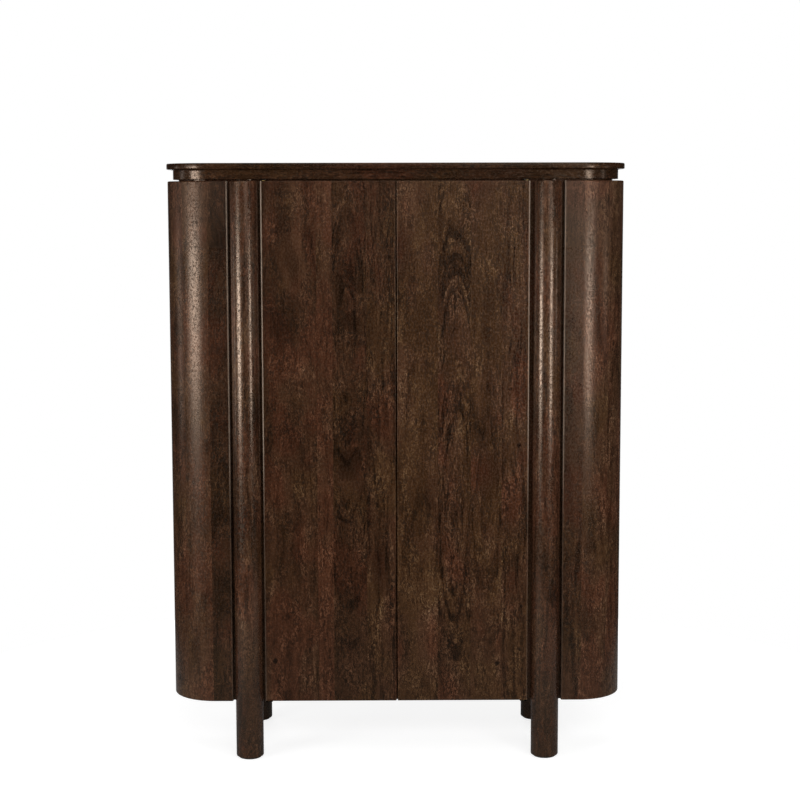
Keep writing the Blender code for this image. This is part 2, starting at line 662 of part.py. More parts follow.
def make_pivot_plates(side_name, side):
    """Plates let into the top and bottom panels, with their pins and screws."""
    pivot_x = door_edges(side)[2]
    head = SCREW_HEAD_RADIUS - SCREW_RADIUS
    screw = [(0, 0), (SCREW_HEAD_RADIUS, 0), (SCREW_RADIUS, -head)]
    screw += [(SCREW_RADIUS, SCREW_POINT_LENGTH - SCREW_LENGTH), (SCREW_TIP_RADIUS, -SCREW_LENGTH)]
    screw += [(0, -SCREW_LENGTH)]
    sink = [(0, CUT_OVERRUN), (SCREW_HEAD_RADIUS + FIT_GAP + CUT_OVERRUN, CUT_OVERRUN)]
    sink += [(SCREW_RADIUS + FIT_GAP, -head), (SCREW_RADIUS + FIT_GAP, -head - PLATE_THICKNESS)]
    sink += [(0, -head - PLATE_THICKNESS)]
    pin = eased_bar(PIN_RADIUS, -PLATE_CLEARANCE - PLATE_THICKNESS, PIN_ENGAGEMENT, PIN_TIP_EASE)
    top_plate = DOOR_TOP + PLATE_CLEARANCE
    bottom_plate = DOOR_BOTTOM - PLATE_CLEARANCE - PLATE_THICKNESS
    ends = (
        ("top", top_plate, top_plate + PLATE_THICKNESS, 1, DOOR_TOP),
        ("bottom", bottom_plate, bottom_plate, -1, DOOR_BOTTOM),
    )
    for end_name, plate_z, face_z, outward, door_end in ends:
        base = side_name + "_" + end_name
        turn = 0 if outward > 0 else pi
        shape = prism(plate_outline(0, 0), 0, PLATE_THICKNESS)
        plate = piece(base + "_pivot_plate", shape, BLACKENED_STEEL, (pivot_x, 0, plate_z))
        start = (pivot_x, PIVOT_Y, face_z)
        hole = [(start, (0, 0, -outward), PIN_RADIUS + FIT_GAP, PLATE_THICKNESS + CUT_OVERRUN)]
        cut(plate, base + "_pin_hole", bores(hole, ROUND_SIDES))
        pin_place = (pivot_x, PIVOT_Y, door_end)
        piece(base + "_pivot_pin", turned(pin, ROUND_SIDES), BRIGHT_STEEL, pin_place, (pi - turn, 0, 0))
        for index, (x, y) in enumerate(plate_screw_places(pivot_x), 1):
            name = base + "_plate_screw_" + str(index)
            sinker = turned(sink, ROUND_SIDES)
            sinker.transform(Matrix.Translation((x, y, face_z)) @ Matrix.Rotation(turn, 4, "X"))
            cut(plate, name + "_sink", sinker)
            item = piece(name, turned(screw, ROUND_SIDES), BRIGHT_STEEL, (x, y, face_z), (turn, 0, 0))
            drive = [((x, y, face_z), (0, 0, -outward), SCREW_DRIVE_RADIUS, SCREW_DRIVE_DEPTH)]
            cut(item, name + "_drive", bores(drive, HEX_SIDES))


def catch_middle():
    """Height of the middle of the magnetic catch."""
    return TOP_PANEL_UNDER - FIT_GAP - CATCH_HEIGHT / 2


def make_catch():
    """Double magnetic catch under the top panel, facing the strike plates of both doors."""
    strike_back = FRONT_Y + DOOR_THICKNESS + FIT_GAP + STRIKE_THICKNESS
    magnet_front = strike_back + FIT_GAP
    body_front = magnet_front + MAGNET_PROUD
    low = (-CATCH_WIDTH / 2, 0, -CATCH_HEIGHT / 2)
    high = (CATCH_WIDTH / 2, CATCH_DEPTH, CATCH_HEIGHT / 2)
    place = (0, body_front, catch_middle())
    body = piece("catch_body", block(low, high), BLACK_PLASTIC, place)
    ease_edges(body, CATCH_EASE)
    half = (MAGNET_WIDTH / 2, MAGNET_HEIGHT / 2)
    low = (-half[0], 0, -half[1])
    high = (half[0], MAGNET_DEPTH, half[1])
    piece("catch_magnet", block(low, high), BLACKENED_STEEL, (0, magnet_front, catch_middle()))
    low = (-half[0] - FIT_GAP, -CUT_OVERRUN, -half[1] - FIT_GAP)
    high = (half[0] + FIT_GAP, MAGNET_DEPTH + FIT_GAP, half[1] + FIT_GAP)
    pocket = block(low, high)
    pocket.transform(Matrix.Translation((0, magnet_front, catch_middle())))
    cut(body, "magnet_pocket", pocket)


def make_cabinet():
    """Make every piece of the cabinet."""
    clear_scene()
    make_slab()
    make_neck()
    make_panels()
    make_side_shells()
    make_back_panel()
    make_stiles()
    make_posts_and_legs()
    make_glides()
    make_post_bolts()
    make_shelves()
    make_catch()
    for side_name, side in (("left", -1), ("right", 1)):
        make_door(side_name, side)
        make_pivot_plates(side_name, side)


make_cabinet()
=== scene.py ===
"""Looks of the storage cabinet: dark stained wood with open pores, in a plain white studio.

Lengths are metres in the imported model's own frame: X to the right, Y to the back, Z up.
"""
from collections import namedtuple
from math import cos, e, pi, radians, sin
from random import Random

import bmesh
import bpy
from mathutils import Matrix, Vector


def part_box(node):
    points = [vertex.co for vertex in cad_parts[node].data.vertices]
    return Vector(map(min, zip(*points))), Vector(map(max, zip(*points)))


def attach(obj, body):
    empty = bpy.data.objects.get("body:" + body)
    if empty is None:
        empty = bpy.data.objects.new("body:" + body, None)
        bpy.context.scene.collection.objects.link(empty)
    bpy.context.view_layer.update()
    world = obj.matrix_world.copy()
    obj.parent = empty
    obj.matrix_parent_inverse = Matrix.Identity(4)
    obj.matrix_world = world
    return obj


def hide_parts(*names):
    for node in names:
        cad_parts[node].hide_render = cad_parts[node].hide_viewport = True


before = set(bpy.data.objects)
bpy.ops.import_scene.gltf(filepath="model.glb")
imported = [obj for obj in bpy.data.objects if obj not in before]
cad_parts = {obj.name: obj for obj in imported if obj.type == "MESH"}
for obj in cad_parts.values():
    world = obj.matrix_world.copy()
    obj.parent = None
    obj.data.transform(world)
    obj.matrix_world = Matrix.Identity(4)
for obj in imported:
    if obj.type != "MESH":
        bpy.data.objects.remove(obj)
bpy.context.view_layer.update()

# Main sizes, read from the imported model
SHELL_LOW, SHELL_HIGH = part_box("right_side_shell")
SLAB_LOW, SLAB_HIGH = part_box("top_slab")
POST_LOW, POST_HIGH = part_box("right_front_post")
LEG_LOW, LEG_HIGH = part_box("right_back_leg")
NECK_LOW, NECK_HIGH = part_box("neck_front_rail")
FRONT_Y = SHELL_LOW.y
BACK_Y = SHELL_HIGH.y
MIDDLE_Y = (FRONT_Y + BACK_Y) / 2
HALF_WIDTH = SHELL_HIGH.x
SHELL_FRONT_X = SHELL_LOW.x
CORNER_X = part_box("neck_right_end")[0].x
CORNER_RADIUS = HALF_WIDTH - CORNER_X
CORNER_FRONT_Y = FRONT_Y + CORNER_RADIUS
CORNER_BACK_Y = BACK_Y - CORNER_RADIUS
POST_X = (POST_LOW.x + POST_HIGH.x) / 2
POST_RADIUS = (POST_HIGH.x - POST_LOW.x) / 2
LEG_Y = (LEG_LOW.y + LEG_HIGH.y) / 2

# Sizes that the boxes don't give
TENON_LENGTH = 0.016
TENON_RADIUS = 0.015
SHELL_THICKNESS = 0.024
SHELL_BACK_X = 0.380
NECK_INSET = 0.012
NECK_THICKNESS = 0.026
NECK_FLARE = 0.003

# Rounding of the edges, and how finely the round shapes are made
SLAB_EASE = 0.0028
SHELL_EASE = 0.0026
DOOR_EASE = 0.0022
POST_EASE = 0.0025
NECK_EASE = 0.0008
CORNER_STEPS = 48
POST_SIDES = 96
EASE_STEPS = 4
SHARP_ANGLE = radians(35)

# Directions in plan, as angles from straight right, and which way each side lies along X
QUARTER = pi / 2
TO_FRONT = -QUARTER
TO_RIGHT = 0.0
TO_BACK = QUARTER
SIDES = {"left": -1, "right": 1}

# Camera, placed so that the cabinet falls where the photograph has it
CAMERA_PLACE = (-0.0229, -3.9522, 1.2242)
CAMERA_PITCH = 0.1134
CAMERA_YAW = 0.0080
CAMERA_ROLL = -0.0021
CAMERA_LENS_MM = 79.65
CAMERA_SENSOR_MM = 36.0

# Studio: even light from all round, a white backdrop behind, and a dim room in reflections
AMBIENT = 0.22
STUDIO_DIM = (0.030, 0.025, 0.021, 1.0)
BACKDROP_EDGE = (0.90, 0.99)

# Soft boxes: name, place, what it faces, width, height, watts and whether it shows in reflections
SOFT_BOXES = (
    ("left_box", (-2.20, -1.78, 0.96), (-0.40, -0.15, 0.92), 1.05, 0.78, 30.0, True),
    ("far_left_box", (-2.10, 0.00, 0.90), (-0.45, 0.00, 0.85), 0.40, 0.80, 1.4, True),
    ("right_box", (0.97, -1.38, 0.95), (0.36, -0.15, 0.92), 0.36, 0.66, 7.0, True),
    ("far_right_box", (1.45, -0.50, 1.05), (0.45, -0.08, 1.05), 0.14, 0.40, 0.4, True),
    ("overhead_box", (0.30, -1.90, 3.10), (0.05, 0.00, 0.90), 1.80, 1.20, 13.0, True),
    ("front_fill", (0.20, -3.70, 2.00), (0.00, -0.15, 1.00), 2.20, 1.20, 42.0, False),
    ("high_right_box", (1.00, -3.50, 2.10), (0.10, -0.15, 1.10), 1.60, 1.00, 5.6, True),
    ("back_fill", (-0.60, 3.60, 2.10), (0.00, 0.18, 0.80), 2.20, 1.40, 44.0, False),
)

# Curve that turns a seen colour into light: a straight toe, then a power
CHANNEL_TOP = 255
TOE_END = 0.04045
TOE_SLOPE = 12.92
CURVE_OFFSET = 0.055
CURVE_POWER = 2.4


def seen(red, green, blue):
    """Shader colour of a colour as seen, each channel out of 255."""
    linear = []
    for channel in (red, green, blue):
        value = channel / CHANNEL_TOP
        if value <= TOE_END:
            linear.append(value / TOE_SLOPE)
        else:
            linear.append(((value + CURVE_OFFSET) / (1 + CURVE_OFFSET)) ** CURVE_POWER)
    return (*linear, 1.0)


def grey(level):
    """Shader colour with one level in every channel."""
    return (level, level, level, 1.0)


# A noise: how wide its blots are across the grain and how long along it, its detail and
# roughness, how far it is shifted from the other noises, and how much it curls
Noise = namedtuple(
    "Noise", "width length detail roughness shift curl", defaults=(2.0, 0.5, 0.0, 0.0)
)
NOISE_MIDDLE = 0.5

# Where two or four numbers stand for a rise, they say from which value to which it goes and
# what it gives at the two: 0 and 1 if nothing is said

# A board: where it starts, its pith's place across, how deep the pith lies, the place along the
# grain where the cut runs nearest to the pith, the pith's lean, the width of a growth ring, how
# strongly the rings show, how light the board is and how red
Board = namedtuple("Board", "start pith lie middle lean ring contrast light redness")

# Tones of the stained wood, from the bottom of a pore to a rubbed high spot
STAIN = (
    (0.00, seen(18, 8, 3)),
    (0.20, seen(35, 20, 10)),
    (0.42, seen(54, 33, 20)),
    (0.62, seen(74, 49, 33)),
    (0.80, seen(98, 71, 51)),
    (1.00, seen(130, 102, 78)),
)
# Pale colour of the painted highlight that is laid along upright edges
EDGE_HIGHLIGHT_COLOUR = seen(172, 152, 134)
SHEEN_TINT = (1.0, 0.75, 0.57, 1.0)

# Washes over the stain, reddish where the wood is warm and olive where it is cool: colour, and
# from which warmth to which it sets in
WASHES = (
    ((1.12, 0.94, 0.94, 1.0), 0.50, 0.62),
    ((0.97, 1.01, 0.88, 1.0), 0.50, 0.38),
)

# Boards' own patterns: how far apart in the noise they are taken
BOARD_SHIFT = 1.7

# Rings: their waver aside and in depth, the noise of the lines, and where they show strongly
DRIFT = Noise(0.07, 0.30, detail=1.0)
WOBBLE = Noise(0.016, 0.075)
DRIFT_ASIDE = 0.030
DRIFT_BELOW = 0.018
WOBBLE_ASIDE = 0.014
RING_LINES = Noise(1.0, 0.200, detail=3.0, roughness=0.65)
LATE_WOOD = (0.50, 0.60)
EARLY_WOOD = (0.46, 0.36)
RING_CLOUDS = Noise(0.034, 0.11, roughness=0.6)
RING_STRENGTH = (0.32, 0.58, 0.30, 1.0)

# Pores and glints: short curled lines at two levels of one noise, crowded together in clusters
CURLS = Noise(0.0044, 0.0100, detail=1.0, curl=1.2)
PORE_LEVEL = 0.42
GLINT_LEVEL = 0.58
CURL_EDGE = (0.080, 0.010)
CLUSTERS = Noise(0.030, 0.070, roughness=0.6, shift=3.1)
CLUSTER_EDGE = (0.40, 0.62)
PORES_IN_CLUSTERS = 0.6
PORES_ON_RINGS = 0.4
PORES_ANYWHERE = 0.2

# Streaks: dark open vessels along the grain, most of them where the rings are strong
COARSE_GRAIN = Noise(0.0040, 0.030, shift=5.3, curl=0.4)
STREAK_EDGE = (0.52, 0.64)
STREAKS_ON_RINGS = 0.7
STREAKS_ANYWHERE = 0.1

# Rims of the knots and of the smooth places, how uneven those of the smooth places are, and how
# much of the open grain a smooth place closes
KNOT_RIM = (0.15, 0.65)
PATCH_RIM = (0.75, 1.05)
PATCH_DRIFT = 1.2
PATCH_WOBBLE = 0.8
PATCH_CLOSES = 0.75

# Tone of the stain, and how far each thing moves it
BASE_TONE = 0.45
BROAD = Noise(0.060, 0.220, shift=7.9)
BROAD_TONE = 0.47
FINE_GRAIN = Noise(0.0042, 0.0058, detail=1.0, shift=1.7)
FINE_TONE = 0.10
WARMTH = Noise(0.085, 0.170, shift=11.3)
MARK_TONES = {"late": -0.34, "early": 0.17, "pores": -0.29, "streaks": -0.33, "glints": 0.29}

# How high or deep the marks lie, as shares of the relief, and how they roughen the coat
MARK_HEIGHTS = {"fine": 1.2, "glints": 0.3, "pores": -0.8, "streaks": -0.5, "late": -0.3}
PORE_ROUGHNESS = 0.20
DULL_GRAIN = (0.48, 0.62)
DULL_ROUGHNESS = 0.15

# Coats of the wood: relief in metres, roughness, sheen, tone, and how open the grain is left
WOOD_RELIEF = 0.00004
WOOD_ROUGHNESS = 0.24
WOOD_SHEEN = 0.55
DOOR_COAT = {"tone": -0.03, "relief": 0.00003, "sheen": 0.35}
TOP_COAT = {"tone": -0.06, "relief": 0.000025, "roughness": 0.18, "sheen": 0.48}
POST_COAT = {"roughness": 0.20, "sheen": 0.85}
INSIDE_COAT = {"tone": 0.04, "relief": 0.00001, "open_grain": 0.3}

# Rises with height: roughness of the side shells, and tone of the posts, with painted shade
# darkening the feet
SHELL_ROUGHNESS = (1.06, 1.26, WOOD_ROUGHNESS, 0.40)
POST_TONE_AND_FOOT_SHADE = (0.04, 0.34, -0.13, 0.04)

# Boards of the two doors from left to right, as the photograph shows them
DOOR_BOARDS = (
    Board(-0.300, -0.240, 0.050, 0.90, 0.020, 0.0100, 0.45, 0.02, 0.04),
    Board(-0.172, -0.245, 0.030, 0.70, 0.030, 0.0100, 0.45, 0.07, 0.08),
    Board(-0.138, -0.106, 0.000, 0.93, 0.120, 0.0080, 0.75, -0.05, 0.00),
    Board(-0.065, -0.125, 0.020, 0.55, 0.050, 0.0110, 0.70, 0.02, -0.03),
    Board(0.000, 0.060, 0.060, 0.40, 0.030, 0.0100, 0.45, 0.08, -0.10),
    Board(0.0895, 0.127, 0.010, 0.66, 0.100, 0.0068, 1.00, 0.04, -0.06),
    Board(0.161, 0.199, 0.004, 0.70, 0.090, 0.0110, 0.55, 0.06, -0.06),
    Board(0.228, 0.190, 0.015, 0.70, 0.035, 0.0100, 0.70, 0.06, -0.02),
)

# Knots of the doors: place across and along, half width and length, push on the rings, darkness
DOOR_KNOTS = (
    (-0.1085, 0.800, 0.014, 0.034, 0.011, 0.25),
    (-0.1240, 1.228, 0.010, 0.022, 0.006, 0.06),
    (0.1853, 0.722, 0.012, 0.022, 0.010, 0.20),
    (0.2445, 0.8144, 0.012, 0.007, 0.006, 0.45),
    (0.2650, 0.692, 0.010, 0.008, 0.006, 0.35),
    (-0.2675, 0.2147, 0.010, 0.011, 0.005, 0.90),
    (0.2197, 0.2074, 0.010, 0.011, 0.005, 0.90),
)

# Smooth places on the doors: place across and along, half width and length, and darkness, which
# is less than nought for a light place
DOOR_PATCHES = (
    (-0.1060, 0.650, 0.030, 0.036, 0.12),
    (-0.1230, 1.030, 0.014, 0.050, 0.14),
    (-0.0760, 1.040, 0.008, 0.026, 0.14),
    (-0.1000, 0.960, 0.024, 0.022, 0.10),
    (-0.0350, 0.415, 0.018, 0.055, 0.12),
    (0.0950, 1.165, 0.004, 0.050, 0.14),
    (0.2000, 0.620, 0.026, 0.070, 0.08),
    (-0.2220, 1.090, 0.032, 0.080, -0.09),
)

# Staves of a side shell, by girth round the case: the first ones as photographed, the others
# drawn, and the right shell's further along so that both sides fit in one row
FRONT_STAVE_END = -0.150
SHELL_STAVES = (
    Board(-0.400, -0.180, 0.030, 0.40, 0.030, 0.0100, 0.60, -0.13, 0.00),
    Board(FRONT_STAVE_END, -0.140, 0.050, 0.70, 0.020, 0.0110, 0.50, 0.01, 0.03),
    Board(-0.090, -0.060, 0.020, 0.90, 0.040, 0.0100, 0.60, 0.03, 0.02),
)
RIGHT_GIRTH = 1.0

# Tone of the side shells, how much lighter the right one is, and its front stave more
SHELL_TONE = 0.03
RIGHT_SIDE_LIGHTER = 0.06
RIGHT_FRONT_LIGHTER = 0.02

# Posts and legs: their stock as one board, and how far along the grain it is shifted, so that no
# two of them are alike
POST_STOCK = (Board(-1.0, 0.024, 0.160, 0.6, 0.02, 0.0100, 0.7, 0.0, 0.04),)
RIGHT_POST_SHIFT = 1.9
BACK_LEG_SHIFT = 0.8

# Drawn boards: seed, where the first starts, where the last ends, their width and how strongly
# their rings show
SHELL_DRAW = (7, -0.020, 0.310, 0.070, 0.5)
TOP_DRAW = (11, FRONT_Y - POST_RADIUS, BACK_Y, 0.09, 0.4)
INSIDE_DRAW = (5, -0.6, 0.8, 0.12, 0.35)

# What a drawn board may be like: its pith counts in board widths from its start, and its
# contrast and its step to the next board as shares of the usual
BOARD_RANGES = {
    "pith": (-0.6, 1.6), "lie": (0.02, 0.07), "middle": (0.1, 1.2), "lean": (-0.05, 0.05),
    "ring": (0.0090, 0.0130), "contrast": (0.5, 1.2), "light": (-0.06, 0.06),
    "redness": (-0.06, 0.06),
}
STEP_RANGE = (0.8, 1.2)

# Painted highlights along upright edges: where and how strongly, full out to the first distance
# from the edge and gone at the second, and less of it low down
DOOR_HIGHLIGHT_EDGES = (
    (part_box("left_door")[0].x, 1.0),
    (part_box("right_door")[1].x, 0.45),
)
SHELL_HIGHLIGHT_EDGES = ((SHELL_FRONT_X, 0.5),)
HIGHLIGHT_REACH = (0.0020, 0.0038)
HIGHLIGHT_HEIGHT = (0.50, 0.72, 0.18, 1.0)
HIGHLIGHT_NOISE = Noise(0.02, 0.03)
HIGHLIGHT_UNEVEN = (0.30, 0.55, 0.7, 1.0)

# Metals: colour, colour where worn, roughness and length of the tooling marks
METALS = {
    "bright_steel": (seen(160, 160, 156), seen(190, 190, 186), 0.32, 0.002),
    "blackened_steel": (seen(40, 38, 36), seen(62, 58, 54), 0.42, 0.006),
    "turned_brass": (seen(170, 138, 80), seen(196, 164, 104), 0.30, 0.002),
}
TOOLING_WIDTH = 0.0006
TOOLING_DETAIL = 3.0
TOOLING_ROUGHNESS = 0.25
TOOLING_RELIEF = 0.00005
WORN_NOISE = Noise(0.006, 0.006, shift=2.7)
WORN_EDGE = (0.35, 0.70)

# Grained stuffs: noise of the grain, colours at its two ends, least roughness, how much the
# grain adds to it, and relief
GRAINED = {
    "moulded_plastic": (
        Noise(0.0007, 0.0007),
        (seen(26, 25, 24), seen(44, 42, 40)), 0.45, 0.2, 0.00008,
    ),
    "pressed_felt": (
        Noise(0.0009, 0.0009, detail=4.0, roughness=0.7),
        (seen(30, 27, 25), seen(74, 69, 63)), 0.85, 0.1, 0.0004,
    ),
}

# Floor: a pale disc, white to the camera apart from the cabinet's shadow, with a glow that rises
# with the distance from the middle
FLOOR_RADIUS = 1.30
FLOOR_SIDES = 96
FLOOR_HEIGHT = -0.0003
FLOOR_PALE = (grey(0.38), grey(0.42))
FLOOR_SPECKLE = Noise(0.05, 0.05, detail=3.0)
FLOOR_ROUGHNESS = 0.9
FLOOR_SHEEN = 0.1
FLOOR_GLOW = (0.70, FLOOR_RADIUS, 0.80, 1.0)


class Flow:
    """A value inside a set of nodes; sums, products and comparisons on it add Math nodes."""

    def __init__(self, nodes, socket):
        self.nodes = nodes
        self.socket = socket

    def math(self, operation, *others):
        return self.nodes.math(operation, self, *others)

    def __add__(self, other):
        return self.math("ADD", other)

    __radd__ = __add__

    def __sub__(self, other):
        return self.math("SUBTRACT", other)

    def __rsub__(self, other):
        return self.nodes.math("SUBTRACT", other, self)

    def __mul__(self, other):
        return self.math("MULTIPLY", other)

    __rmul__ = __mul__

    def __truediv__(self, other):
        return self.math("DIVIDE", other)

    def __gt__(self, other):
        return self.math("GREATER_THAN", other)

    def __abs__(self):
        return self.math("ABSOLUTE")


class Nodes:
    """Node tree of a material or of the world, built up node by node."""

    def __init__(self, tree):
        self.tree = tree

    def add(self, kind, settings, values):
        """Add a node, its settings first and then its sockets; its outputs come back by name."""
        node = self.tree.nodes.new(kind)
        for name, value in settings.items():
            if name == "stops":
                place_stops(node.color_ramp, value)
            else:
                setattr(node, name, value)
        usable = [socket for socket in node.inputs if socket.enabled]
        for key, value in values.items():
            self.feed(usable[key] if isinstance(key, int) else node.inputs[key], value)
        return {socket.name: Flow(self, socket) for socket in node.outputs if socket.enabled}

    def feed(self, socket, value):
        """Link a flow to a socket, or set the socket's own value."""
        if isinstance(value, Flow):
            self.tree.links.new(value.socket, socket)
        else:
            socket.default_value = value

    def math(self, operation, *values):
        settings = {"operation": operation}
        return self.add("ShaderNodeMath", settings, dict(enumerate(values)))["Value"]

    def split(self, vector):
        """The three parts of a vector."""
        return tuple(self.add("ShaderNodeSeparateXYZ", {}, {"Vector": vector}).values())

    def length(self, first, second):
        """Length of a vector with two sides at right angles."""
        return self.math("SQRT", first * first + second * second)

    def rise(self, value, low, high, start=0.0, end=1.0):
        """Smooth step from one value to another as a flow goes from low to high."""
        settings = {"interpolation_type": "SMOOTHSTEP"}
        values = {0: value, 1: low, 2: high, 3: start, 4: end}
        return self.add("ShaderNodeMapRange", settings, values)["Result"]

    def ramp(self, value, stops):
        """Colour of a value between the stops, each a position and a colour."""
        return self.add("ShaderNodeValToRGB", {"stops": stops}, {"Fac": value})["Color"]

    def mix(self, share, under, over, blend="MIX"):
        """One colour over another, by the share of the upper one."""
        settings = {"data_type": "RGBA", "blend_type": blend}
        return self.add("ShaderNodeMix", settings, {0: share, 1: under, 2: over})["Result"]


class Finish(Nodes):
    """Material of one kind of surface."""

    def __init__(self, name):
        self.material = bpy.data.materials.new(name)
        self.material.use_nodes = True
        super().__init__(self.material.node_tree)
        self.shader = self.tree.nodes["Principled BSDF"]

    def set(self, **values):
        """Set the shader's sockets, named with underscores for spaces."""
        for name, value in values.items():
            self.feed(self.shader.inputs[name.replace("_", " ")], value)

    def place(self):
        """Where a point of the surface is on the cabinet at rest, as x, y and z."""
        return self.split(self.add("ShaderNodeTexCoord", {}, {})["Object"])

    def noise(self, point, kind):
        """Noise from 0 to 1 at a point, given across the grain, in depth and along the grain."""
        across, depth, along = point
        sides = {
            "X": across / kind.width + kind.shift,
            "Y": depth / kind.width,
            "Z": along / kind.length,
        }
        values = {
            "Vector": self.add("ShaderNodeCombineXYZ", {}, sides)["Vector"],
            "Scale": 1.0,
            "Detail": kind.detail,
            "Roughness": kind.roughness,
            "Distortion": kind.curl,
        }
        return self.add("ShaderNodeTexNoise", {}, values)["Fac"]

    def bump(self, height, distance):
        """Relief of the surface, so many metres for a height of 1."""
        values = {"Strength": 1.0, "Distance": distance, "Height": height}
        self.set(Normal=self.add("ShaderNodeBump", {}, values)["Normal"])


def place_stops(ramp, stops):
    """Give a colour ramp its stops, each a position and a colour."""
    while len(ramp.elements) > 1:
        ramp.elements.remove(ramp.elements[-1])
    for index, (position, colour) in enumerate(stops):
        stop = ramp.elements[0] if index == 0 else ramp.elements.new(position)
        stop.position = position
        stop.color = colour


def by_board(steps, values):
    """The value of whichever board a point is on, from the steps at the boards' seams."""
    total = values[0]
    for step, before, after in zip(steps, values, values[1:]):
        total = total + step * (after - before)
    return total


def reach_from(finish, across, along, spot):
    """Distance from the middle of a knot or smooth place, 1 at its rim."""
    spot_across, spot_along, half_width, half_length = spot
    aside = (across - spot_across) / half_width
    return finish.length(aside, (along - spot_along) / half_length)


def pith_distance(finish, point, steps, column, drift, wobble):
    """Distance of a point from the pith of the board that it is on, with some waver in it."""
    across, depth, along = point
    aside = across - by_board(steps, column.pith) + drift * DRIFT_ASIDE + wobble * WOBBLE_ASIDE
    nearness = (along - by_board(steps, column.middle)) * by_board(steps, column.lean)
    below = depth + by_board(steps, column.lie) + nearness + drift * DRIFT_BELOW
    return finish.length(aside, below)


def wood_marks(finish, point, boards, knots, patches, open_grain):
    """Marks and tones of boards that lie side by side across the grain, by name."""
    across, depth, along = point
    column = Board(*zip(*boards))
    steps = [across > start for start in column.start[1:]]
    own = by_board(steps, [index * BOARD_SHIFT for index in range(len(boards))])
    shifted = (across + own, depth, along)

    drift = finish.noise(shifted, DRIFT) - NOISE_MIDDLE
    wobble = finish.noise(shifted, WOBBLE) - NOISE_MIDDLE
    radius = pith_distance(finish, point, steps, column, drift, wobble)
    dark = 0.0
    for *spot, push, darkness in knots:
        reach = reach_from(finish, across, along, spot)
        radius = radius + finish.math("POWER", e, reach * reach * -1.0) * push
        dark = dark + finish.rise(reach + wobble, *KNOT_RIM, darkness, 0.0)

    smooth = 0.0
    for *spot, darkness in patches:
        reach = reach_from(finish, across, along, spot)
        uneven = reach + drift * PATCH_DRIFT + wobble * PATCH_WOBBLE
        cover = finish.rise(uneven, *PATCH_RIM, 1.0, 0.0)
        dark = dark + cover * darkness
        smooth = smooth + cover
    openness = (1.0 - smooth * PATCH_CLOSES) * open_grain

    rings = radius / by_board(steps, column.ring) + own
    lines = finish.noise((rings, 0.0, along), RING_LINES)
    clouds = finish.rise(finish.noise(shifted, RING_CLOUDS), *RING_STRENGTH)
    strength = by_board(steps, column.contrast) * clouds

    clusters = finish.rise(finish.noise(shifted, CLUSTERS), *CLUSTER_EDGE)
    crowd = clusters * PORES_IN_CLUSTERS + strength * PORES_ON_RINGS + PORES_ANYWHERE
    crowd = crowd * openness
    curls = finish.noise(shifted, CURLS)
    streaks = finish.rise(finish.noise(shifted, COARSE_GRAIN), *STREAK_EDGE)
    return {
        "late": finish.rise(lines, *LATE_WOOD) * strength,
        "early": finish.rise(lines, *EARLY_WOOD) * strength,
        "pores": finish.rise(abs(curls - PORE_LEVEL), *CURL_EDGE) * crowd,
        "glints": finish.rise(abs(curls - GLINT_LEVEL), *CURL_EDGE) * crowd,
        "streaks": streaks * (strength * STREAKS_ON_RINGS + STREAKS_ANYWHERE) * openness,
        "fine": finish.noise(shifted, FINE_GRAIN),
        "broad": finish.noise(shifted, BROAD),
        "warm": finish.noise(shifted, WARMTH) + by_board(steps, column.redness),
        "light": by_board(steps, column.light),
        "dark": dark,
    }


def weighed(total, marks, weights):
    """A total with each mark added by its weight."""
    for name, weight in weights.items():
        total = total + marks[name] * weight
    return total


def stained_wood(finish, point, boards, knots=(), patches=(), edge_highlight=None, tone=0.0,
                 relief=WOOD_RELIEF, roughness=WOOD_ROUGHNESS, sheen=WOOD_SHEEN, open_grain=1.0):
    """Stained boards with growth rings, pores and knots, with a highlight painted pale along the
    edges where the edge mask is.

    The point is given across the grain, in depth and along the grain. A higher tone is
    lighter, and open_grain is the share of the pores and streaks that the coat leaves open.
    """
    marks = wood_marks(finish, point, boards, knots, patches, open_grain)
    shade = BASE_TONE + tone + marks["light"]
    shade = shade + (marks["broad"] - NOISE_MIDDLE) * BROAD_TONE
    shade = shade + (marks["fine"] - NOISE_MIDDLE) * FINE_TONE
    shade = weighed(shade, marks, MARK_TONES) - marks["dark"]
    colour = finish.ramp(shade, STAIN)
    for wash, slight, full in WASHES:
        washed = finish.mix(1.0, colour, wash, "MULTIPLY")
        colour = finish.mix(finish.rise(marks["warm"], slight, full), colour, washed)
    # Painted highlight: a pale colour over the stain along the marked edges
    if edge_highlight is not None:
        colour = finish.mix(edge_highlight, colour, EDGE_HIGHLIGHT_COLOUR)
    dull = finish.rise(marks["fine"], *DULL_GRAIN) * DULL_ROUGHNESS
    finish.set(Base_Color=colour)
    finish.set(Roughness=roughness + marks["pores"] * PORE_ROUGHNESS + dull)
    finish.set(Specular_IOR_Level=sheen, Specular_Tint=SHEEN_TINT)
    finish.bump(weighed(0.0, marks, MARK_HEIGHTS), relief)


def drawn_boards(seed, low, high, width, ring_contrast):
    """Boards of about one width, side by side, each with its own rings and lightness."""
    draw = Random(seed)
    boards = []
    start = low
    while start < high:
        drawn = {name: draw.uniform(*span) for name, span in BOARD_RANGES.items()}
        drawn["pith"] = start + drawn["pith"] * width
        drawn["contrast"] = drawn["contrast"] * ring_contrast
        boards.append(Board(start=start, **drawn))
        start += width * draw.uniform(*STEP_RANGE)
    return tuple(boards)


def painted_edge_highlight(finish, across, edges, height):
    """Mask of the painted highlight along upright edges, full from mid height up and fainter low
    down.
    """
    edge_highlight = 0.0
    for edge, share in edges:
        edge_highlight = edge_highlight + finish.rise(abs(across - edge), *HIGHLIGHT_REACH, share, 0.0)
    uneven = finish.rise(finish.noise((across, 0.0, height), HIGHLIGHT_NOISE), *HIGHLIGHT_UNEVEN)
    return edge_highlight * uneven * finish.rise(height, *HIGHLIGHT_HEIGHT)


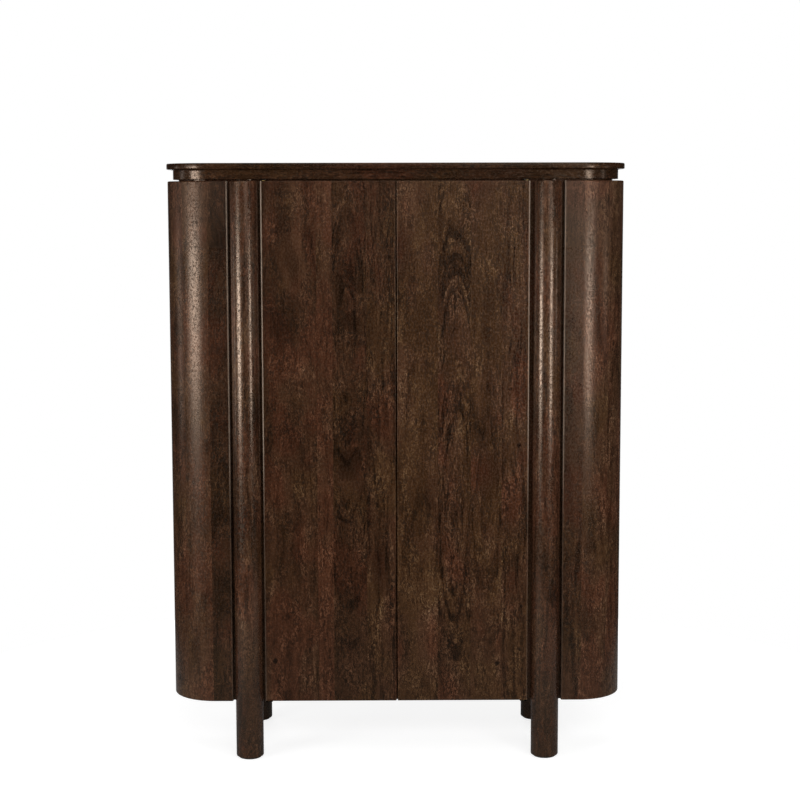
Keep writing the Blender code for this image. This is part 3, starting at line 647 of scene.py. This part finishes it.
def girth_of(finish, x, y):
    """How far round the case from where a front corner meets the side, and how deep in it."""
    side = abs(x)
    held_x = finish.math("MINIMUM", side, CORNER_X)
    held_y = finish.math("MINIMUM", finish.math("MAXIMUM", y, CORNER_FRONT_Y), CORNER_BACK_Y)
    turn = finish.math("ARCTAN2", y - held_y, side - held_x)
    # On the flat front the way round goes outwards, and on the flat back inwards
    ahead = 1.0 - 2.0 * (y > MIDDLE_Y)
    straight = (held_x - CORNER_X) * ahead
    depth = CORNER_RADIUS - finish.length(side - held_x, y - held_y)
    return turn * CORNER_RADIUS + held_y - CORNER_FRONT_Y + straight, depth


def door_finish():
    """Doors glued up from planks with upright grain."""
    finish = Finish("door_wood")
    x, y, z = finish.place()
    # Painted highlight along the doors' outer edges
    edge_highlight = painted_edge_highlight(finish, x, DOOR_HIGHLIGHT_EDGES, z)
    point = (x, y - FRONT_Y, z)
    stained_wood(finish, point, DOOR_BOARDS, DOOR_KNOTS, DOOR_PATCHES, edge_highlight, **DOOR_COAT)
    return finish.material


def shell_finish():
    """Side shells glued up from staves with upright grain."""
    finish = Finish("shell_wood")
    x, y, z = finish.place()
    girth, depth = girth_of(finish, x, y)
    left = SHELL_STAVES + drawn_boards(*SHELL_DRAW)
    right = tuple(
        board._replace(start=board.start + RIGHT_GIRTH, pith=board.pith + RIGHT_GIRTH)
        for board in left
    )
    point = (girth + (x > 0) * RIGHT_GIRTH, depth, z)
    # The back half counts as a metre further out, so that only the front edges get the painted
    # highlight
    front_x = abs(x) + (y > MIDDLE_Y)
    edge_highlight = painted_edge_highlight(finish, front_x, SHELL_HIGHLIGHT_EDGES, z)
    on_front = 1.0 - (girth > FRONT_STAVE_END)
    tone = SHELL_TONE + (x > 0) * (RIGHT_SIDE_LIGHTER + on_front * RIGHT_FRONT_LIGHTER)
    roughness = finish.rise(z, *SHELL_ROUGHNESS)
    stained_wood(finish, point, left + right, edge_highlight=edge_highlight, tone=tone, roughness=roughness)
    return finish.material


def top_finish():
    """Slab and neck, with the grain running from side to side."""
    finish = Finish("top_wood")
    x, y, z = finish.place()
    stained_wood(finish, (y, z, x), drawn_boards(*TOP_DRAW), **TOP_COAT)
    return finish.material


def post_finish():
    """Round posts and legs, turned from solid stock with its pith off to one side."""
    finish = Finish("post_wood")
    x, y, z = finish.place()
    shift = (x > 0) * RIGHT_POST_SHIFT + (y > 0) * BACK_LEG_SHIFT
    point = (abs(x) - POST_X, y, z + shift)
    # Painted shade: the posts' tone darkens towards their feet near the floor
    stained_wood(finish, point, POST_STOCK, tone=finish.rise(z, *POST_TONE_AND_FOOT_SHADE), **POST_COAT)
    return finish.material


def inside_finish(name, upright):
    """Plainer wood inside the case, with the grain upright or from side to side."""
    finish = Finish(name)
    x, y, z = finish.place()
    point = (x + y, y, z) if upright else (y + z, z, x)
    stained_wood(finish, point, drawn_boards(*INSIDE_DRAW), **INSIDE_COAT)
    return finish.material


def metal_finish(name):
    """Hardware metal with fine tooling marks and a slightly uneven tone."""
    colour, worn_colour, roughness, mark_length = METALS[name]
    finish = Finish(name)
    point = finish.place()
    marks = finish.noise(point, Noise(TOOLING_WIDTH, mark_length, detail=TOOLING_DETAIL))
    worn = finish.rise(finish.noise(point, WORN_NOISE), *WORN_EDGE)
    finish.set(Base_Color=finish.mix(worn, colour, worn_colour))
    finish.set(Roughness=roughness + (marks - NOISE_MIDDLE) * TOOLING_ROUGHNESS)
    finish.set(Metallic=1.0)
    finish.bump(marks, TOOLING_RELIEF)
    return finish.material


def grained_finish(name):
    """Plain stuff with a fine grain in its colour, gloss and surface."""
    noise, colours, least_roughness, more_roughness, relief = GRAINED[name]
    finish = Finish(name)
    grain = finish.noise(finish.place(), noise)
    finish.set(Base_Color=finish.mix(grain, *colours))
    finish.set(Roughness=least_roughness + grain * more_roughness)
    finish.bump(grain, relief)
    return finish.material


def loft(rings):
    """Closed solid through rings of points, with a flat cap at each end."""
    shape = bmesh.new()
    rows = [[shape.verts.new(point) for point in ring] for ring in rings]
    for near, far in zip(rows, rows[1:]):
        for index in range(len(near)):
            after = (index + 1) % len(near)
            shape.faces.new((near[index], near[after], far[after], far[index]))
    shape.faces.new(list(reversed(rows[0])))
    shape.faces.new(rows[-1])
    return shape


def make_piece(name, shape, body, node, material, ease=0.0):
    """Put one piece where its node is, riding on that node's body."""
    bmesh.ops.recalc_face_normals(shape, faces=shape.faces)
    mesh = bpy.data.meshes.new(name)
    shape.to_mesh(mesh)
    shape.free()
    mesh.shade_smooth()
    mesh.set_sharp_from_angle(angle=SHARP_ANGLE)
    mesh.materials.append(material)
    item = bpy.data.objects.new(name, mesh)
    bpy.context.scene.collection.objects.link(item)
    if ease:
        bevel = item.modifiers.new("eased_edges", "BEVEL")
        bevel.width = ease
        bevel.segments = EASE_STEPS
        bevel.limit_method = "ANGLE"
        bevel.angle_limit = SHARP_ANGLE
        bevel.harden_normals = True
    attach(item, body)
    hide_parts(node)


def quarter_turn(start, steps):
    """Angles over a quarter turn, from the first one on."""
    return [start + QUARTER * step / steps for step in range(steps + 1)]


def eased_foot(low, ease):
    """Rounded lower edge, as insets and heights going up."""
    turns = quarter_turn(0, EASE_STEPS)
    return [(ease * (1 - sin(turn)), low + ease * (1 - cos(turn))) for turn in turns]


def eased_head(high, ease):
    """Rounded upper edge, as insets and heights going up."""
    turns = quarter_turn(0, EASE_STEPS)
    return [(ease * (1 - cos(turn)), high - ease * (1 - sin(turn))) for turn in turns]


def plan_outline(half_width, low_y, high_y, radius):
    """Rectangle with round corners, seen from above."""
    front_y, back_y = low_y + radius, high_y - radius
    corners = ((1, back_y), (-1, back_y), (-1, front_y), (1, front_y))
    points = []
    for index, (side, middle_y) in enumerate(corners):
        middle_x = side * (half_width - radius)
        for turn in quarter_turn(QUARTER * index, CORNER_STEPS):
            points.append((middle_x + radius * cos(turn), middle_y + radius * sin(turn)))
    return points


def make_slab(material):
    """Thin top board with rounded upper and lower edges."""
    radius = CORNER_RADIUS + SLAB_HIGH.x - HALF_WIDTH
    rings = []
    for inset, height in eased_foot(SLAB_LOW.z, SLAB_EASE) + eased_head(SLAB_HIGH.z, SLAB_EASE):
        outline = plan_outline(
            SLAB_HIGH.x - inset, SLAB_LOW.y + inset, SLAB_HIGH.y - inset, radius - inset
        )
        rings.append([(x, y, height) for x, y in outline])
    make_piece("slab_board", loft(rings), "cabinet", "top_slab", material)


def side_stations(side, inset, front_x=None, back_x=None):
    """Places and facings round one side of the case, from its front end to its back end."""
    radius = CORNER_RADIUS - inset
    stations = []
    if front_x is not None:
        stations.append(((front_x, FRONT_Y + inset), TO_FRONT))
    for corner_y, first in ((CORNER_FRONT_Y, TO_FRONT), (CORNER_BACK_Y, TO_RIGHT)):
        for facing in quarter_turn(first, CORNER_STEPS):
            place = (CORNER_X + radius * cos(facing), corner_y + radius * sin(facing))
            stations.append((place, facing))
    if back_x is not None:
        stations.append(((back_x, BACK_Y - inset), TO_BACK))
    if side > 0:
        return stations
    return [((-x, y), pi - facing) for (x, y), facing in stations]


def swept(stations, section):
    """Solid with one section, given as depth behind the outer face and height, along a path."""
    rings = []
    for (x, y), facing in stations:
        rings.append([
            (x - depth * cos(facing), y - depth * sin(facing), height)
            for depth, height in section
        ])
    return loft(rings)


def neck_rail(y, facing):
    """Stations of a straight rail of the neck."""
    return [((NECK_LOW.x, y), facing), ((NECK_HIGH.x, y), facing)]


def make_neck(material):
    """Recessed ring under the slab, hollowed at its top where it flares out to the slab."""
    low, high = NECK_LOW.z, NECK_HIGH.z
    cove = [(-inset, height) for inset, height in eased_head(high, NECK_FLARE)]
    inner = [(NECK_THICKNESS, high), (NECK_THICKNESS, low)]
    section = eased_foot(low, NECK_EASE) + cove + inner
    paths = (
        ("neck_front_moulding", "neck_front_rail", neck_rail(FRONT_Y + NECK_INSET, TO_FRONT)),
        ("neck_back_moulding", "neck_back_rail", neck_rail(BACK_Y - NECK_INSET, TO_BACK)),
        ("neck_left_moulding", "neck_left_end", side_stations(-1, NECK_INSET)),
        ("neck_right_moulding", "neck_right_end", side_stations(1, NECK_INSET)),
    )
    for name, node, stations in paths:
        make_piece(name, swept(stations, section), "cabinet", node, material)


def make_side_shells(material):
    """Curved shells at both ends of the case."""
    low, high = SHELL_LOW.z, SHELL_HIGH.z
    section = [(0, low), (0, high), (SHELL_THICKNESS, high), (SHELL_THICKNESS, low)]
    for side_name, side in SIDES.items():
        shape = swept(side_stations(side, 0, SHELL_FRONT_X, SHELL_BACK_X), section)
        name = side_name + "_curved_side"
        node = side_name + "_side_shell"
        make_piece(name, shape, "cabinet", node, material, SHELL_EASE)


def turned(profile, place):
    """Solid of revolution about an upright line, from radius and height pairs."""
    turns = [2 * pi * side / POST_SIDES for side in range(POST_SIDES)]
    x, y = place
    rings = []
    for radius, height in profile:
        rings.append([(x + radius * cos(turn), y + radius * sin(turn), height) for turn in turns])
    return loft(rings)


def round_bar(low, high):
    """Profile of a post with rounded rims."""
    rims = eased_foot(low, POST_EASE) + eased_head(high, POST_EASE)
    return [(POST_RADIUS - inset, height) for inset, height in rims]


def make_posts(material):
    """Round front posts, and round back legs with a tenon on top."""
    shoulder = LEG_HIGH.z - TENON_LENGTH
    tenon = [(TENON_RADIUS, shoulder), (TENON_RADIUS, LEG_HIGH.z)]
    for side_name, side in SIDES.items():
        shape = turned(round_bar(POST_LOW.z, POST_HIGH.z), (side * POST_X, FRONT_Y))
        name = side_name + "_round_post"
        make_piece(name, shape, "cabinet", side_name + "_front_post", material)
        shape = turned(round_bar(LEG_LOW.z, shoulder) + tenon, (side * POST_X, LEG_Y))
        name = side_name + "_round_leg"
        make_piece(name, shape, "cabinet", side_name + "_back_leg", material)


def make_doors(material):
    """Flat doors with softly rounded edges."""
    for side_name in SIDES:
        node = side_name + "_door"
        low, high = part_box(node)
        outline = ((low.x, low.y), (high.x, low.y), (high.x, high.y), (low.x, high.y))
        shape = loft([[(x, y, height) for x, y in outline] for height in (low.z, high.z)])
        name = side_name + "_plank_door"
        make_piece(name, shape, node, node, material, DOOR_EASE)


def dress_nodes(kept):
    """Give each node that stays its finish."""
    for material, names in kept:
        for name in names:
            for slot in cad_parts[name].material_slots:
                slot.material = material


def hardware_names(*parts):
    """Names of the kept nodes that hold one of the given words."""
    return [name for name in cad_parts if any(part in name for part in parts)]


def make_floor():
    """Pale floor that keeps the cabinet's soft shadow."""
    finish = Finish("pale_floor")
    point = finish.place()
    finish.set(Base_Color=finish.mix(finish.noise(point, FLOOR_SPECKLE), *FLOOR_PALE))
    finish.set(Roughness=FLOOR_ROUGHNESS, Specular_IOR_Level=FLOOR_SHEEN)
    path = finish.add("ShaderNodeLightPath", {}, {})
    white = finish.math("MAXIMUM", path["Is Camera Ray"], path["Is Transmission Ray"])
    glow = finish.rise(finish.length(*point[:2]), *FLOOR_GLOW)
    finish.set(Emission_Color=finish.mix(white * glow, grey(0.0), grey(1.0)))
    finish.set(Emission_Strength=1.0)
    shape = bmesh.new()
    bmesh.ops.create_circle(shape, cap_ends=True, segments=FLOOR_SIDES, radius=FLOOR_RADIUS)
    mesh = bpy.data.meshes.new("studio_floor")
    shape.to_mesh(mesh)
    shape.free()
    mesh.materials.append(finish.material)
    floor = bpy.data.objects.new("studio_floor", mesh)
    floor.location = (0, 0, FLOOR_HEIGHT)
    bpy.context.scene.collection.objects.link(floor)


def make_world():
    """White backdrop, dim studio in reflections, and even soft light from all round."""
    world = bpy.data.worlds.new("studio")
    bpy.context.scene.world = world
    world.use_nodes = True
    world.node_tree.nodes.clear()
    studio = Nodes(world.node_tree)
    path = studio.add("ShaderNodeLightPath", {}, {})
    toward_back = studio.split(studio.add("ShaderNodeTexCoord", {}, {})["Generated"])[1]
    behind = studio.rise(toward_back, *BACKDROP_EDGE) * path["Is Glossy Ray"]
    white = studio.math("MAXIMUM", path["Is Camera Ray"], path["Is Transmission Ray"])
    white = studio.math("MAXIMUM", white, behind)
    level = studio.mix(path["Is Glossy Ray"], grey(AMBIENT), STUDIO_DIM)
    values = {"Color": studio.mix(white, level, grey(1.0)), "Strength": 1.0}
    background = studio.add("ShaderNodeBackground", {}, values)["Background"]
    studio.add("ShaderNodeOutputWorld", {}, {"Surface": background})


def make_lights():
    """Soft boxes either side, overhead and high on the right, and fills in front and behind."""
    for name, place, target, width, height, watts, reflected in SOFT_BOXES:
        lamp = bpy.data.lights.new(name, "AREA")
        lamp.shape = "RECTANGLE"
        lamp.size = width
        lamp.size_y = height
        lamp.energy = watts
        item = bpy.data.objects.new(name, lamp)
        item.location = place
        item.visible_glossy = reflected
        item.visible_camera = False
        toward = Vector(target) - Vector(place)
        item.rotation_mode = "QUATERNION"
        item.rotation_quaternion = toward.to_track_quat("-Z", "Y")
        bpy.context.scene.collection.objects.link(item)


def make_camera():
    """Camera at the photograph's viewpoint."""
    forward = Vector((
        sin(CAMERA_YAW) * cos(CAMERA_PITCH), cos(CAMERA_YAW) * cos(CAMERA_PITCH),
        -sin(CAMERA_PITCH),
    ))
    level = Vector((cos(CAMERA_YAW), -sin(CAMERA_YAW), 0.0))
    upward = level.cross(forward)
    right = cos(CAMERA_ROLL) * level + sin(CAMERA_ROLL) * upward
    up = cos(CAMERA_ROLL) * upward - sin(CAMERA_ROLL) * level
    turn = Matrix((right, up, -forward)).transposed()
    lens = bpy.data.cameras.new("camera")
    lens.sensor_width = CAMERA_SENSOR_MM
    lens.lens = CAMERA_LENS_MM
    camera = bpy.data.objects.new("camera", lens)
    camera.matrix_world = Matrix.Translation(CAMERA_PLACE) @ turn.to_4x4()
    bpy.context.scene.collection.objects.link(camera)
    bpy.context.scene.camera = camera


make_camera()
make_floor()
make_world()
make_lights()
top_wood = top_finish()
make_slab(top_wood)
make_neck(top_wood)
make_side_shells(shell_finish())
make_posts(post_finish())
make_doors(door_finish())
level_wood = inside_finish("inside_level_wood", upright=False)
upright_wood = inside_finish("inside_upright_wood", upright=True)
bright_steel = metal_finish("bright_steel")
dark_steel = metal_finish("blackened_steel")
brass = metal_finish("turned_brass")
dress_nodes((
    (level_wood, ["case_top_panel", "case_bottom_panel", "lower_shelf", "upper_shelf"]),
    (upright_wood, ["back_panel", "left_post_stile", "right_post_stile"]),
    (bright_steel, hardware_names("shelf_pin", "strike_plate", "pivot_pin", "plate_screw")),
    (dark_steel, hardware_names("pivot_plate", "post_bolt", "catch_magnet")),
    (brass, hardware_names("bush")),
    (grained_finish("moulded_plastic"), ["catch_body"]),
    (grained_finish("pressed_felt"), hardware_names("glide")),
))

bpy.context.scene.view_settings.view_transform = "Standard"
